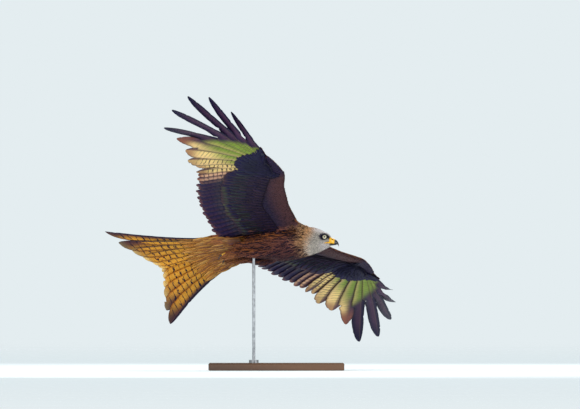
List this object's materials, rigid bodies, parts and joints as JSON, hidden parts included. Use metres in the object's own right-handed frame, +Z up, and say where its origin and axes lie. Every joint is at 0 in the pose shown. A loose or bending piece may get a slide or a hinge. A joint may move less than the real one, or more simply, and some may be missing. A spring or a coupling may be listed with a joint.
{
  "type": "red kite display model in flight",
  "caption": "Life-size still model of a soaring red kite, wings spread and forked tail fanned, banked on a single rod over a flat base.",
  "frame": {"origin": "middle of the stand base's underside, on the floor", "axes": "+Z up, +X along the base's length, roughly the way the bird flies, +Y along the base's width towards the low left wing"},
  "size_m": [0.7725, 1.3743, 0.727],
  "materials": {
    "body_plumage": "matte",
    "head_plumage": "matte",
    "wing_feathers": "satin",
    "tail_feathers": "satin",
    "yellow_skin": "satin",
    "horn": "gloss",
    "eye": "polished",
    "stand_wood": "satin",
    "stand_steel": "satin"
  },
  "bodies": {
    "root": {"torso": "body_plumage", "neck": "body_plumage", "head": "head_plumage", "cere": "yellow_skin", "bill_upper": "horn", "bill_lower": "horn", "eye_left": "eye", "eye_right": "eye", "tail": "tail_feathers", "wing_left_arm": "wing_feathers", "wing_left_hand": "wing_feathers", "wing_right_arm": "wing_feathers", "wing_right_hand": "wing_feathers", "leg_left": "body_plumage", "leg_right": "body_plumage", "foot_left": "yellow_skin", "foot_right": "yellow_skin", "stand_base": "stand_wood", "stand_collar": "stand_steel", "stand_rod": "stand_steel"}
  },
  "joints": []
}
